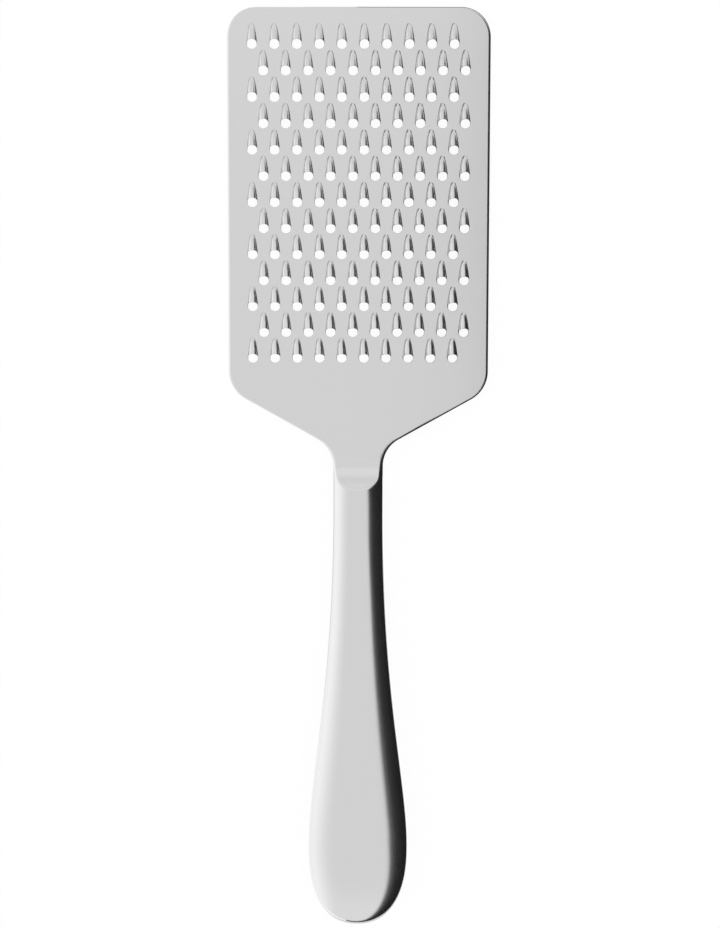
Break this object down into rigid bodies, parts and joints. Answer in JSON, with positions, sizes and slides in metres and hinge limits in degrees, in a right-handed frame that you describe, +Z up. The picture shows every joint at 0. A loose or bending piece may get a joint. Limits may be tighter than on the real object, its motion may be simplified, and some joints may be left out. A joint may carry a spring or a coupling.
{
  "type": "hand grater",
  "caption": "Flat hand grater: a stainless sheet with rows of hooded teeth over through holes, a scooped neck and a long hollow rounded handle.",
  "frame": {"origin": "on the table, under the middle of the grater's length and width", "axes": "+Y towards the tip of the blade, +Z up, with the teeth upwards"},
  "size_m": [0.077, 0.2746, 0.0125],
  "materials": {
    "blade_steel": "fine satin",
    "handle_steel": "polished satin",
    "braze": "as melted",
    "weld": "as welded",
    "filler": "cast, matt"
  },
  "bodies": {
    "root": {"grater_blade": "blade_steel", "neck_bolster": "handle_steel", "handle_front_shell": "handle_steel", "handle_back_shell": "handle_steel", "braze_sleeve": "braze", "seam_weld": "weld", "handle_filler": "filler"}
  },
  "joints": []
}
